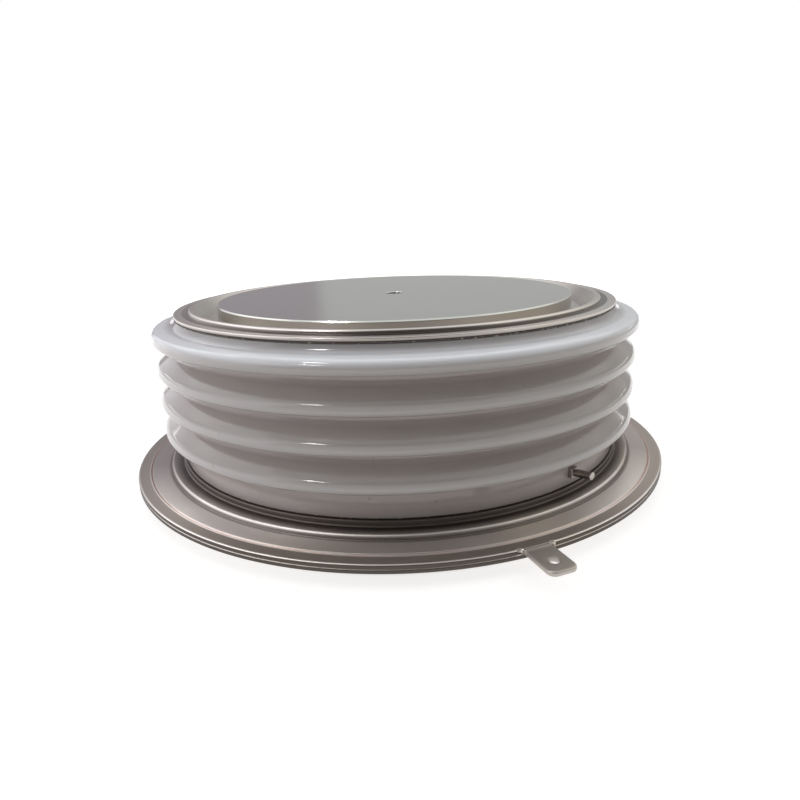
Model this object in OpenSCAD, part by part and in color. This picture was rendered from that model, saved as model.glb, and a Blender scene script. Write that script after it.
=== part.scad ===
// Disc (press-pack) thyristor: a ribbed ceramic ring closed by two nickel-plated pole pieces.
// The origin is the centre of the lower (cathode) contact face, +Z points to the anode face,
// and the auxiliary cathode tab points along -Y. All sizes are in millimetres.

/* [Package] */

// Height between the two contact faces
package_h = 36; // [34:0.5:40]
// Diameter of each contact face
contact_d = 74; // [68:0.5:78]
// Height of each contact face above the lip of its flange
contact_proud = 0.4; // [0.2:0.05:0.8]
// Chamfer around each contact face
contact_chamfer = 0.45; // [0.2:0.05:0.8]
// Depth of the trough between pole piece and lip, below the contact face
trough_depth = 3.3; // [2.8:0.1:4]
// Width of the ledge on each pole piece that its flange is brazed to
ledge_w = 1.6; // [1.2:0.1:2]
// Diameter of the locating hole in each contact face
locating_d = 3.6; // [3:0.1:4]
// Depth of the locating hole
locating_depth = 2; // [1.5:0.1:3]

/* [Ceramic ring] */

// Radial gap between the pole pieces and the ceramic bore
bore_gap = 3.2; // [2.6:0.1:4]
// Wall of the ceramic between the ribs
ceramic_wall = 4.6; // [4:0.1:6]
// Height of the ribs above the wall
rib_out = 3.25; // [2.5:0.05:4.5]
// Extra height of the top rib
top_rib_extra = 0.35; // [0:0.05:0.8]
// Thickness of a rib
rib_t = 2; // [1.6:0.1:2.6]
// Spacing of the ribs
rib_pitch = 6.1; // [5.5:0.1:8]
// Radius in the valleys at the foot of each rib
rib_fillet = 1.6; // [0.8:0.1:1.7]
// Depth of the top rib's middle below the top of the ring
top_rib_drop = 3; // [2.8:0.1:3.6]
// Width of the narrow land that carries the anode flange
land_w = 3.4; // [2.8:0.1:4]
// Height of that land above the top rib's shoulder
land_h = 1.1; // [0.8:0.1:1.4]
// Fall of the shoulder from the land to the edge of the top rib
shoulder_fall = 0.55; // [0.3:0.05:0.8]
// Plain height kept free of ribs at the foot, around the gate tube
plain_h = 4.9; // [4:0.1:6]

/* [Flanges] */

// Thickness of the anode flange sheet
anode_sheet_t = 0.7; // [0.6:0.05:1]
// Thickness of the two cold-welded flange sheets
weld_sheet_t = 1; // [0.8:0.05:1.2]
// Width across the top of a flange's lip
lip_w = 1; // [0.8:0.05:1.2]
// Height of the anode lip above its flat ring
lip_rise = 1.1; // [0.8:0.1:1.5]
// Overhang of the anode flange past the ceramic land
anode_overhang = 0.2; // [0:0.05:0.5]
// Thickness of the braze between ceramic and flange
braze_t = 0.15; // [0.1:0.05:0.2]
// Height of the rim's underside above the cathode contact face
rim_gap = 2.3; // [2:0.1:2.6]
// Depth that the cold-weld die presses into each sheet
weld_press = 0.2; // [0.1:0.05:0.3]
// Width of the pressed band around the rim
weld_w = 2.6; // [2:0.1:3.5]
// Width of the flat rim outside the lower step
rim_w = 6.5; // [5.5:0.1:8]
// Width of the lower step outside the ceramic
step_w = 3.1; // [2.4:0.1:4]
// Height of the lower step above the rim
step_rise = 0.9; // [0.7:0.1:1.3]
// Width of the ledge around the foot of the ceramic
foot_w = 0.45; // [0.3:0.05:0.7]
// Height of the ceramic's seat above the lower step
foot_rise = 1.1; // [0.8:0.1:1.5]

/* [Auxiliary cathode tab] */

// Width of the tab
tab_w = 4.8; // [2.8:0.1:6.3]
// Length of the tab outside the rim
tab_len = 7; // [5:0.5:9]
// Diameter of the hole in the tab
tab_hole_d = 1.65; // [1.2:0.05:2]
// Distance of the hole from the tip
tab_hole_in = 2.8; // [2:0.1:4]
// Corner radius at the tip
tab_corner = 1.2; // [0.3:0.1:1.4]
// Radius of the relief notches beside the tab
tab_relief = 0.5; // [0.3:0.05:0.8]

/* [Gate] */

// Angle from the tab to the gate tube
gate_angle = 18.5; // [14:0.5:60]
// Height of the gate tube above the foot of the ceramic
gate_rise = 2.25; // [1.6:0.05:3]
// Outside diameter of the gate tube
gate_tube_d = 1.5; // [1.3:0.1:1.8]
// Length of the gate tube outside the ceramic
gate_out = 4.9; // [3:0.1:8]
// Side of the square collar at the foot of the gate tube
gate_collar = 2.1; // [2:0.1:2.6]
// Thickness of that collar
gate_collar_t = 0.8; // [0.5:0.1:1.2]
// Diameter of the gate lead wire
gate_wire_d = 0.7; // [0.5:0.05:0.8]
// Outside diameter of the insulating sleeve on the wire
gate_sleeve_d = 1.6; // [1.3:0.1:1.7]
// Width of the slot in the cathode pole piece that the lead lies in
gate_slot_w = 2.3; // [2.2:0.1:3]
// Bore in the cathode pole piece for the gate contact
gate_bore_d = 9; // [8.6:0.1:10]
// Wall of the insulating cup in that bore
gate_cup_wall = 1; // [0.7:0.1:1.2]
// Diameter of the tip that touches the wafer
gate_tip_d = 3; // [2:0.1:4]
// Wire of the gate spring
gate_spring_wire = 0.5; // [0.4:0.05:0.6]

/* [Wafer stack] */

// Height of the cathode pole piece
cathode_pole_h = 16; // [15.5:0.5:18]
// Thickness of the silver shim
shim_t = 0.2; // [0.1:0.05:0.4]
// Thickness of the cathode molybdenum disc
cathode_moly_t = 2; // [1.8:0.1:3]
// Thickness of the silicon wafer
wafer_t = 1; // [0.6:0.1:1.4]
// Thickness of the anode molybdenum disc
anode_moly_t = 2.8; // [2:0.1:4]
// Overhang of the wafer past the contact face
wafer_over = 1; // [0.5:0.1:1.4]
// Central hole of the cathode disc and shim
moly_hole_d = 6; // [5:0.1:7]
// Width of the rubber bead around the wafer's edge
seal_w = 1.2; // [0.8:0.1:1.5]

/* [Hidden] */

$fn = 128;
// clearance of loose inner pieces
clear = 0.3;

// radii, from the contact face outwards
contact_r = contact_d / 2;
pole_r = contact_r + ledge_w;
bore_r = pole_r + bore_gap;
body_r = bore_r + ceramic_wall;
rib_r = body_r + rib_out;
top_rib_r = rib_r + top_rib_extra;
land_r = bore_r + land_w;
anode_ring_r = land_r + anode_overhang;
foot_r = body_r + foot_w;
step_r = body_r + step_w;
rim_r = step_r + rim_w;
weld_r = rim_r - weld_w;

// heights, from the cathode contact face upwards
seam_z = rim_gap + weld_sheet_t - weld_press;
rim_z = seam_z + weld_sheet_t - weld_press;
flat_z = seam_z + weld_sheet_t;
step_z = flat_z + step_rise;
seat_z = step_z + foot_rise;
ceramic_z0 = seat_z + braze_t;
anode_ring_z = package_h - contact_proud - lip_rise;
ceramic_z1 = anode_ring_z - anode_sheet_t - braze_t;
top_rib_z = ceramic_z1 - top_rib_drop;
shoulder_z = ceramic_z1 - land_h;
rib_n = 1 + floor((top_rib_z - rib_t / 2 - ceramic_z0 - plain_h) / rib_pitch + 0.001);
gate_z = ceramic_z0 + gate_rise;
shim_z = cathode_pole_h;
cathode_moly_z = shim_z + shim_t;
wafer_z = cathode_moly_z + cathode_moly_t;
anode_moly_z = wafer_z + wafer_t;
anode_pole_z = anode_moly_z + anode_moly_t;

// the wafer stack and its rings
wafer_r = contact_r + wafer_over;
cathode_moly_r = contact_r - 1;
seal_r = wafer_r + seal_w;
ring_floor_t = cathode_moly_t * 0.65;
ring_h = anode_moly_z + anode_moly_t * 0.75 - cathode_pole_h;

// the gate contact, from its lead upwards
gate_dir = gate_angle - 90;
tube_in_r = bore_r - 1.5;
tube_tip_r = body_r + gate_out;
tube_plug = 1.5;
cup_floor_t = 0.8;
cup_floor_z = gate_z - gate_slot_w / 2;
cup_r = gate_bore_d / 2;
cup_bore_r = cup_r - gate_cup_wall;
cup_neck_r = cup_bore_r - 0.9;
bush_t = 1;
bush_z = gate_z + gate_slot_w / 2 + clear;
stem_r = 0.8;
pin_head_t = 0.8;
pin_head_z = cathode_pole_h - 1 - pin_head_t;
pin_head_r = cup_bore_r - 0.5;
spring_z = bush_z + bush_t;
spring_len = pin_head_z - spring_z;
spring_r = cup_bore_r - 1.4;
spring_turns = 0.7 + max(1, floor((spring_len - gate_spring_wire) / (gate_spring_wire * 1.9)));

tab_tip = rim_r + tab_len;

ceramic_white = [0.93, 0.92, 0.91];
nickel = [0.72, 0.70, 0.66];
nickel_pale = [0.78, 0.79, 0.77];
braze_silver = [0.82, 0.80, 0.76];
copper = [0.78, 0.50, 0.38];
molybdenum = [0.50, 0.52, 0.55];
silicon = [0.28, 0.30, 0.36];
silver = [0.86, 0.86, 0.84];
ptfe = [0.94, 0.94, 0.92];
rubber_white = [0.88, 0.86, 0.84];
spring_steel = [0.60, 0.60, 0.60];

// A corner b between a and c, turned into an arc of radius r with n steps.
function unit(v) = v / norm(v);
function corner(a, b, c, r, n) = r <= 0 ? [b] :
    let (u = unit(a - b), v = unit(c - b))
    let (half = acos(u * v) / 2)
    let (o = b + unit(u + v) * r / sin(half))
    let (p = b + u * r / tan(half) - o, q = b + v * r / tan(half) - o)
    let (a0 = atan2(p[1], p[0]), a1 = atan2(q[1], q[0]))
    let (turn = (a1 - a0 + 540) % 360 - 180)
    [for (k = [0:n]) o + r * [cos(a0 + turn * k / n), sin(a0 + turn * k / n)]];

// A closed outline from [radius, height, corner radius] points.
function rounded(pts, n = 6) =
    let (m = len(pts))
    [for (i = [0:m - 1])
        let (a = pts[(i + m - 1) % m], b = pts[i], c = pts[(i + 1) % m])
        each corner([a[0], a[1]], [b[0], b[1]], [c[0], c[1]], b[2], n)];

// One rib of the ceramic with its two valley fillets, from its underside up.
function rib(z) = [
    [body_r, z - rib_t / 2, rib_fillet],
    [rib_r, z - rib_t / 2, rib_t * 0.49],
    [rib_r, z + rib_t / 2, rib_t * 0.49],
    [body_r, z + rib_t / 2, rib_fillet]];

// The ceramic's outline: plain foot, ribs, then the fuller top rib, its shoulder and the land.
function ceramic_outline() = concat(
    [[bore_r, ceramic_z0, 0], [body_r, ceramic_z0, 0.3]],
    [for (i = [1:rib_n - 1]) each rib(top_rib_z - (rib_n - i) * rib_pitch)],
    [[body_r, top_rib_z - rib_t / 2, rib_fillet],
     [top_rib_r, top_rib_z - rib_t / 2, rib_t * 0.49],
     [top_rib_r, shoulder_z - shoulder_fall, 1.3],
     [land_r, shoulder_z, 0.3],
     [land_r, ceramic_z1, 0],
     [bore_r, ceramic_z1, 0]]);

// A flange sheet: an outer ring, a lip, a slope down to a floor brazed to the pole piece's ledge.
// The outline is drawn in radius and depth below the contact face.
function diaphragm(outer, ring_depth, t) =
    let (lip_r = bore_r + t, crest_r = lip_r - lip_w)
    let (slope = atan2(trough_depth - contact_proud, crest_r - pole_r))
    let (under_r = pole_r + t * tan(slope / 2))
    let (under_depth = trough_depth + t - (bore_r - under_r) * tan(slope))
    concat(outer, [
        [lip_r, ring_depth, 0.35],
        [lip_r, contact_proud, 0.45],
        [crest_r, contact_proud, 0.6],
        [pole_r, trough_depth, 0.8],
        [contact_r, trough_depth, 0],
        [contact_r, trough_depth + t, 0],
        [under_r, trough_depth + t, 0.3],
        [bore_r, under_depth, 0.1],
        [bore_r, ring_depth + t, 0]]);

module turned(outline) {
    rotate_extrude() polygon(rounded(outline));
}

// Places children at the gate tube, with +Z pointing outwards along it.
module along_gate() {
    rotate([0, 0, gate_dir]) translate([0, 0, gate_z]) rotate([0, 90, 0]) children();
}

// A pole piece standing on its contact face: contact end, ledge, inner body, locating hole.
module pole(h) {
    difference() {
        turned([
            [0, 0, 0],
            [contact_r - contact_chamfer, 0, 0.2],
            [contact_r, contact_chamfer, 0.2],
            [contact_r, trough_depth, 0],
            [contact_r, trough_depth + weld_sheet_t, 0],
            [pole_r, trough_depth + weld_sheet_t, 0],
            [pole_r, h - 0.5, 0],
            [pole_r - 0.5, h, 0],
            [0, h, 0]]);
        translate([0, 0, -1]) cylinder(d = locating_d, h = locating_depth + 1);
    }
}

module ceramic_housing() {
    color(ceramic_white) difference() {
        turned(ceramic_outline());
        along_gate() translate([0, 0, bore_r - 2]) cylinder(d = gate_tube_d, h = ceramic_wall + 4);
    }
}

module anode_pole_piece() {
    ledge_z = package_h - trough_depth - anode_sheet_t;
    color(nickel_pale) difference() {
        turned([
            [0, anode_pole_z, 0],
            [pole_r - 0.5, anode_pole_z, 0],
            [pole_r, anode_pole_z + 0.5, 0],
            [pole_r, ledge_z, 0],
            [contact_r, ledge_z, 0],
            [contact_r, package_h - contact_chamfer, 0.2],
            [contact_r - contact_chamfer, package_h, 0.2],
            [0, package_h, 0]]);
        translate([0, 0, package_h - locating_depth]) cylinder(d = locating_d, h = locating_depth + 1);
    }
}

module anode_flange() {
    depth = contact_proud + lip_rise;
    edge = [[anode_ring_r, depth + anode_sheet_t, 0.15], [anode_ring_r, depth, 0.25]];
    color(nickel) translate([0, 0, package_h]) mirror([0, 0, 1])
        turned(diaphragm(edge, depth, anode_sheet_t));
}

module anode_braze_ring() {
    color(braze_silver) translate([0, 0, ceramic_z1]) difference() {
        cylinder(r = land_r, h = braze_t);
        translate([0, 0, -1]) cylinder(r = bore_r, h = braze_t + 2);
    }
}

module cathode_pole_piece() {
    color(copper) difference() {
        pole(cathode_pole_h);
        translate([0, 0, cup_floor_z - cup_floor_t]) cylinder(r = cup_r, h = cathode_pole_h);
        rotate([0, 0, gate_dir]) translate([0, -gate_slot_w / 2, cup_floor_z])
            cube([pole_r + 5, gate_slot_w, cathode_pole_h]);
    }
}

// The sheet brazed under the ceramic, with its cold-weld rim and the auxiliary cathode tab.
module housing_weld_flange() {
    color(nickel) difference() {
        union() {
            turned([
                [step_r - weld_sheet_t, seam_z, 0.3],
                [rim_r, seam_z, 0],
                [rim_r, rim_z, 0.25],
                [weld_r, rim_z, 0.1],
                [weld_r - 0.3, flat_z, 0.1],
                [step_r, flat_z, step_rise * 0.33],
                [step_r, step_z, step_rise * 0.6],
                [foot_r, step_z, foot_rise * 0.3],
                [foot_r, seat_z, foot_rise * 0.25],
                [bore_r, seat_z, 0],
                [bore_r, seat_z - weld_sheet_t, 0],
                [foot_r - weld_sheet_t, seat_z - weld_sheet_t, 0.2],
                [foot_r - weld_sheet_t, step_z - weld_sheet_t, 0.3],
                [step_r - weld_sheet_t, step_z - weld_sheet_t, 0.2]]);
            tab();
        }
        for (side = [-1, 1]) translate([side * (tab_w / 2 + tab_relief), -rim_r, seam_z - 1])
            cylinder(r = tab_relief, h = weld_sheet_t + 2, $fn = 24);
        translate([0, tab_hole_in - tab_tip, seam_z - 1]) cylinder(d = tab_hole_d, h = weld_sheet_t + 2);
    }
}

module tab() {
    root = weld_r + 0.6;
    h = rim_z - seam_z;
    translate([0, 0, seam_z]) {
        translate([-tab_w / 2, tab_corner - tab_tip, 0]) cube([tab_w, tab_tip - tab_corner - root, h]);
        translate([tab_corner - tab_w / 2, -tab_tip, 0]) cube([tab_w - 2 * tab_corner, tab_corner + 1, h]);
        for (side = [-1, 1]) translate([side * (tab_w / 2 - tab_corner), tab_corner - tab_tip, 0])
            cylinder(r = tab_corner, h = h, $fn = 48);
    }
}

module cover_weld_flange() {
    edge = [
        [rim_r, seam_z, 0],
        [rim_r, rim_gap, 0.25],
        [weld_r, rim_gap, 0.1],
        [weld_r - 0.3, rim_gap - weld_press, 0.1]];
    color(nickel) turned(diaphragm(edge, rim_gap - weld_press, weld_sheet_t));
}

module housing_braze_ring() {
    color(braze_silver) translate([0, 0, seat_z]) difference() {
        cylinder(r = body_r, h = braze_t);
        translate([0, 0, -1]) cylinder(r = bore_r, h = braze_t + 2);
    }
}

// The gate tube, brazed through the ceramic and pinched shut at its tip.
module gate_tube() {
    color(nickel) difference() {
        union() {
            along_gate() translate([0, 0, tube_in_r])
                cylinder(d = gate_tube_d, h = tube_tip_r - tube_in_r);
            difference() {
                along_gate() translate([-gate_collar / 2, -gate_collar / 2, body_r - 1])
                    cube([gate_collar, gate_collar, gate_collar_t + 1]);
                cylinder(r = body_r, h = package_h);
            }
        }
        along_gate() translate([0, 0, tube_in_r - 1])
            cylinder(d = gate_wire_d, h = tube_tip_r - tube_plug - tube_in_r + 1);
    }
}

module gate_lead_wire() {
    color(silver) difference() {
        along_gate() cylinder(d = gate_wire_d, h = tube_tip_r - tube_plug);
        cylinder(r = stem_r, h = package_h);
    }
}

module gate_lead_sleeve() {
    color(ptfe) along_gate() translate([0, 0, cup_bore_r]) difference() {
        cylinder(d = gate_sleeve_d, h = tube_in_r - cup_bore_r);
        translate([0, 0, -1]) cylinder(d = gate_wire_d, h = bore_r);
    }
}

module gate_contact_pin() {
    color(silver) {
        translate([0, 0, cup_floor_z + clear]) cylinder(r = stem_r, h = pin_head_z - cup_floor_z);
        translate([0, 0, pin_head_z]) cylinder(r = pin_head_r, h = pin_head_t);
        translate([0, 0, pin_head_z]) cylinder(d = gate_tip_d, h = wafer_z - pin_head_z);
    }
}

// The coil: its two ends lie flat for a third of a turn, the rest climbs evenly.
function climb(t) = min(1, max(0, (t - 0.35) / (spring_turns - 0.7)));

module gate_spring() {
    w = gate_spring_wire / 2;
    per = 20;
    sides = 8;
    steps = ceil(spring_turns * per);
    pts = [for (i = [0:steps]) for (s = [0:sides - 1])
        let (t = i * spring_turns / steps, a = 360 * t, b = 360 * s / sides)
        let (z = w + (spring_len - 2 * w) * climb(t))
        [(spring_r + w * cos(b)) * cos(a), (spring_r + w * cos(b)) * sin(a), z + w * sin(b)]];
    wall = [for (i = [0:steps - 1]) for (s = [0:sides - 1])
        let (p = i * sides + s, q = i * sides + (s + 1) % sides)
        [p, q, q + sides, p + sides]];
    foot = [[for (s = [0:sides - 1]) sides - 1 - s]];
    top = [[for (s = [0:sides - 1]) steps * sides + s]];
    color(spring_steel) translate([0, 0, spring_z]) polyhedron(pts, concat(wall, foot, top));
}

module gate_guide_bush() {
    color(ptfe) translate([0, 0, bush_z]) difference() {
        cylinder(r = cup_bore_r, h = bush_t);
        translate([0, 0, -1]) cylinder(r = stem_r + clear, h = bush_t + 2);
    }
}

module gate_insulator_cup() {
    color(ptfe) difference() {
        turned([
            [0, cup_floor_z - cup_floor_t, 0],
            [cup_r, cup_floor_z - cup_floor_t, 0],
            [cup_r, cathode_pole_h - clear, 0],
            [cup_bore_r, cathode_pole_h - clear, 0],
            [cup_bore_r, bush_z, 0],
            [cup_neck_r, bush_z, 0],
            [cup_neck_r, cup_floor_z, 0],
            [0, cup_floor_z, 0]]);
        rotate([0, 0, gate_dir]) translate([0, -gate_slot_w / 2, cup_floor_z])
            cube([cup_r + 1, gate_slot_w, cathode_pole_h]);
    }
}

module silicon_wafer() {
    color(silicon) translate([0, 0, wafer_z]) cylinder(r = wafer_r, h = wafer_t);
}

module wafer_edge_seal() {
    z0 = wafer_z - 0.2;
    z1 = anode_moly_z + 0.8;
    color(rubber_white) turned([
        [wafer_r, z0, 0],
        [seal_r, z0, 0.5],
        [seal_r, z1, 0.7],
        [wafer_r, z1, 0]]);
}

module anode_molybdenum_disc() {
    color(molybdenum) translate([0, 0, anode_moly_z]) cylinder(r = wafer_r, h = anode_moly_t);
}

module cathode_molybdenum_disc() {
    color(molybdenum) translate([0, 0, cathode_moly_z]) difference() {
        cylinder(r = cathode_moly_r, h = cathode_moly_t);
        translate([0, 0, -1]) cylinder(d = moly_hole_d, h = cathode_moly_t + 2);
    }
}

module cathode_silver_shim() {
    color(silver) translate([0, 0, shim_z]) difference() {
        cylinder(r = cathode_moly_r, h = shim_t);
        translate([0, 0, -1]) cylinder(d = moly_hole_d, h = shim_t + 2);
    }
}

// The L-shaped ring that centres the wafer and both discs in the ceramic bore.
module locating_ring() {
    color(ptfe) translate([0, 0, cathode_pole_h]) turned([
        [cathode_moly_r + clear, 0, 0],
        [bore_r - clear, 0, 0.3],
        [bore_r - clear, ring_h, 0.3],
        [seal_r + clear, ring_h, 0.3],
        [seal_r + clear, ring_floor_t, 0],
        [cathode_moly_r + clear, ring_floor_t, 0.3]]);
}

ceramic_housing();
anode_pole_piece();
anode_flange();
anode_braze_ring();
cathode_pole_piece();
housing_weld_flange();
cover_weld_flange();
housing_braze_ring();
gate_tube();
gate_lead_wire();
gate_lead_sleeve();
gate_contact_pin();
gate_spring();
gate_guide_bush();
gate_insulator_cup();
silicon_wafer();
wafer_edge_seal();
anode_molybdenum_disc();
cathode_molybdenum_disc();
cathode_silver_shim();
locating_ring();
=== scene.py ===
import math
import random

import bmesh
import bpy
from mathutils import Matrix, Vector


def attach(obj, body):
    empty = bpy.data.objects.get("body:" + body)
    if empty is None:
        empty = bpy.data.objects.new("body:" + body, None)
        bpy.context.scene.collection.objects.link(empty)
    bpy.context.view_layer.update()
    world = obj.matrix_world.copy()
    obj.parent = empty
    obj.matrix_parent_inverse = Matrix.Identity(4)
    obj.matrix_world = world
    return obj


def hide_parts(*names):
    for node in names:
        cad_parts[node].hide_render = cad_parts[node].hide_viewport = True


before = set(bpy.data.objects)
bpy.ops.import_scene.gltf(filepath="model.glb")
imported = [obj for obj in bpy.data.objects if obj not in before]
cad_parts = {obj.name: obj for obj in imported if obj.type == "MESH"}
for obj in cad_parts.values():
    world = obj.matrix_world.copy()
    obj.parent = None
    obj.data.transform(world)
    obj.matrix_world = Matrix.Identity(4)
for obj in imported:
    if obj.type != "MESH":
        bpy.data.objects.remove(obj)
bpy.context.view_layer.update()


# The ribbed ring is the insulator: dry-pressed alumina, turned while green, fired and glazed.
# The ribs lengthen the path along its wall, and the narrow land on top carries the anode flange.
MM = 0.001
BORE_R, BODY_R, LAND_R = 41.8, 46.4, 45.2
CERAMIC_Z0, CERAMIC_Z1 = 6.25, 34.1
TOP_RIB_Z, RIB_PITCH, RIB_START = 31.1, 6.2, -1.9
LOWEST_RIB_Z = TOP_RIB_Z - 3 * RIB_PITCH
SHOULDER_Z = 31.3
RING_SIDES = 288


def linear(code):
    """An sRGB hex colour as the linear values that a shader takes."""
    parts = [int(code[i : i + 2], 16) / 255 for i in (1, 3, 5)]
    return [c / 12.92 if c < 0.04045 else ((c + 0.055) / 1.055) ** 2.4 for c in parts] + [1.0]


def add(tree, kind, links=None, **settings):
    """Adds a node: settings are its properties, links give each input a value or another socket."""
    made = tree.nodes.new(kind)
    for key, value in settings.items():
        setattr(made, key, value)
    for key, value in (links or {}).items():
        if isinstance(value, bpy.types.NodeSocket):
            tree.links.new(value, made.inputs[key])
        else:
            made.inputs[key].default_value = value
    return made


def new_material(name, **finish):
    """A material with one shader, whose constant values are given here."""
    made = bpy.data.materials.new(name)
    made.use_nodes = True
    tree = made.node_tree
    tree.nodes.clear()
    shader = add(tree, "ShaderNodeBsdfPrincipled", {k.replace("_", " "): v for k, v in finish.items()})
    add(tree, "ShaderNodeOutputMaterial", {"Surface": shader.outputs[0]})
    return made, tree, shader


def new_piece(name, mesh, material):
    """An object at the origin for a finished mesh, with smooth faces and crisp corners."""
    mesh.materials.clear()
    mesh.materials.append(material)
    mesh.shade_smooth()
    mesh.set_sharp_from_angle(angle=math.radians(32))
    made = bpy.data.objects.new(name, mesh)
    bpy.context.scene.collection.objects.link(made)
    return made


# Clear glaze over white alumina: a wet gloss that runs in slow waves. Painted light and shade are in its
# colour: warm white in the valleys, greyer up the ribs' slopes, whiter again on their crests and a cool
# white on the shoulder.
glazed_alumina, tree, shader = new_material(
    "glazed_alumina", Roughness=0.1, IOR=1.52, Subsurface_Weight=0.3, Subsurface_Radius=(1.0, 0.9, 0.85),
    Subsurface_Scale=1.2 * MM)
place = add(tree, "ShaderNodeTexCoord").outputs["Object"]
flat = add(tree, "ShaderNodeVectorMath", {0: place, 1: (1, 1, 0)}, operation="MULTIPLY")
radius = add(tree, "ShaderNodeVectorMath", {0: flat.outputs["Vector"]}, operation="LENGTH")
# painted shade: the glaze greys from the valley floor up the ribs' slopes
slope = add(tree, "ShaderNodeMapRange", {
    "Value": radius.outputs["Value"], "From Min": 46.6 * MM, "From Max": 48.8 * MM})
# the painted slope shade varies at random over about 14 mm
shade_noise = add(tree, "ShaderNodeTexNoise", {"Vector": place, "Scale": 1 / (14 * MM), "Detail": 3.0})
shade_noise_offset = add(tree, "ShaderNodeMath", {0: shade_noise.outputs["Fac"], 1: 0.3, 2: -0.15}, operation="MULTIPLY_ADD")
depth = add(tree, "ShaderNodeMath", {0: slope.outputs["Result"], 1: shade_noise_offset.outputs[0]}, operation="ADD")
slope_painted_shade = add(tree, "ShaderNodeMix", {
    "Factor": depth.outputs[0], 6: linear("#d6cdca"), 7: linear("#b9b2ae")}, data_type="RGBA")
# painted light: the rib crests stay whiter
crest_light_ramp = add(tree, "ShaderNodeMapRange", {
    "Value": radius.outputs["Value"], "From Min": 49.25 * MM, "From Max": 49.52 * MM})
crest_lit_tone = add(tree, "ShaderNodeMix", {
    "Factor": crest_light_ramp.outputs[0], 6: slope_painted_shade.outputs[2], 7: linear("#dad5d3")}, data_type="RGBA")
# painted light: the shoulder under the anode flange, facing up, is a cool white
height = add(tree, "ShaderNodeSeparateXYZ", {0: place})
shoulder = add(tree, "ShaderNodeMapRange", {
    "Value": height.outputs["Z"], "From Min": SHOULDER_Z * MM, "From Max": (SHOULDER_Z + 1) * MM})
shoulder_painted_light = add(tree, "ShaderNodeMix", {
    "Factor": shoulder.outputs[0], 6: crest_lit_tone.outputs[2], 7: linear("#e2e3e7")}, data_type="RGBA")
# painted shade in the fillet at the shoulder's inner edge, under the anode ring
fillet = add(tree, "ShaderNodeMapRange", {
    "Value": radius.outputs["Value"], "From Min": 45.6 * MM, "From Max": 47.5 * MM,
    "To Min": 0.85, "To Max": 0.0})
on_shoulder = add(tree, "ShaderNodeMath", {
    0: height.outputs["Z"], 1: SHOULDER_Z * MM}, operation="GREATER_THAN")
fillet_painted_shade = add(tree, "ShaderNodeMath", {
    0: fillet.outputs[0], 1: on_shoulder.outputs[0]}, operation="MULTIPLY")
glaze_tone = add(tree, "ShaderNodeMix", {
    "Factor": fillet_painted_shade.outputs[0], 6: shoulder_painted_light.outputs[2], 7: linear("#978f8e")}, data_type="RGBA")
# painted shade: the lowest 2 mm of the foot darkens towards the seat
foot_painted_shade = add(tree, "ShaderNodeMapRange", {
    "Value": height.outputs["Z"], "From Min": 6.5 * MM, "From Max": 8.6 * MM,
    "To Min": 0.45, "To Max": 0.0})
foot_tone = add(tree, "ShaderNodeMix", {
    "Factor": foot_painted_shade.outputs[0], 6: glaze_tone.outputs[2], 7: linear("#857d7b")}, data_type="RGBA")
# specks of iron in the clay, about 0.35 mm, a few to the square centimetre
speck_cell = add(tree, "ShaderNodeTexVoronoi", {"Vector": place, "Scale": 1 / (3.4 * MM)})
speck = add(tree, "ShaderNodeMapRange", {
    "Value": speck_cell.outputs["Distance"], "From Min": 0.05, "From Max": 0.09,
    "To Min": 0.25, "To Max": 0.0})
rare = add(tree, "ShaderNodeMath", {0: speck_cell.outputs["Color"], 1: 0.62}, operation="GREATER_THAN")
speck_mix = add(tree, "ShaderNodeMath", {0: speck.outputs[0], 1: rare.outputs[0]}, operation="MULTIPLY")
body_colour = add(tree, "ShaderNodeMix", {
    "Factor": speck_mix.outputs[0], 6: foot_tone.outputs[2], 7: linear("#8d8580")}, data_type="RGBA")
tree.links.new(body_colour.outputs[2], shader.inputs["Base Color"])
# the glaze flows in waves about 9 mm long
wave = add(tree, "ShaderNodeTexNoise", {"Vector": place, "Scale": 1 / (9 * MM), "Detail": 2.0})
wave_bump = add(tree, "ShaderNodeBump", {
    "Height": wave.outputs["Fac"], "Strength": 0.35, "Distance": 0.25 * MM})
tree.links.new(wave_bump.outputs[0], shader.inputs["Normal"])

# The ring is one turned outline in three stretches: the plain foot with the bore, a rib that
# repeats up the wall, and the fuller top rib with its shoulder and land.
ring_tree = bpy.data.node_groups.new("ribbed_ring", "GeometryNodeTree")
ring_tree.interface.new_socket("Geometry", in_out="OUTPUT", socket_type="NodeSocketGeometry")
ring_sizes = {
    "Bore Radius": BORE_R, "Body Radius": BODY_R, "Rib Radius": 49.65, "Top Rib Radius": 50.0,
    "Land Radius": LAND_R, "Foot Height": CERAMIC_Z0, "Foot Wall Top": LOWEST_RIB_Z + RIB_START,
    "Lowest Rib Height": LOWEST_RIB_Z, "Rib Pitch": RIB_PITCH, "Rib Start": RIB_START,
    "Rib End": RIB_START + RIB_PITCH, "Rib Underside": -1.0, "Rib Edge": 0.75, "Rib Root": 3.45,
    "Throat Radius": 0.85, "Lower Nose Radius": 0.8, "Upper Nose Radius": 2.0, "Root Radius": 1.5,
    "Top Wall Start": TOP_RIB_Z + RIB_START, "Top Rib Underside": TOP_RIB_Z - 1.0,
    "Top Rib Edge": 32.35, "Flare Radius": 46.2, "Flare Foot": 32.9, "Top Height": CERAMIC_Z1}
ring_ids = {}
for label in ring_sizes:
    socket = ring_tree.interface.new_socket(label, in_out="INPUT", socket_type="NodeSocketFloat")
    ring_ids[label] = socket.identifier
for label in ("Ribs", "Sides"):
    socket = ring_tree.interface.new_socket(label, in_out="INPUT", socket_type="NodeSocketInt")
    ring_ids[label] = socket.identifier
given = add(ring_tree, "NodeGroupInput").outputs
round_path = add(ring_tree, "GeometryNodeCurvePrimitiveCircle", {
    "Resolution": given["Sides"], "Radius": given["Body Radius"]})


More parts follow.
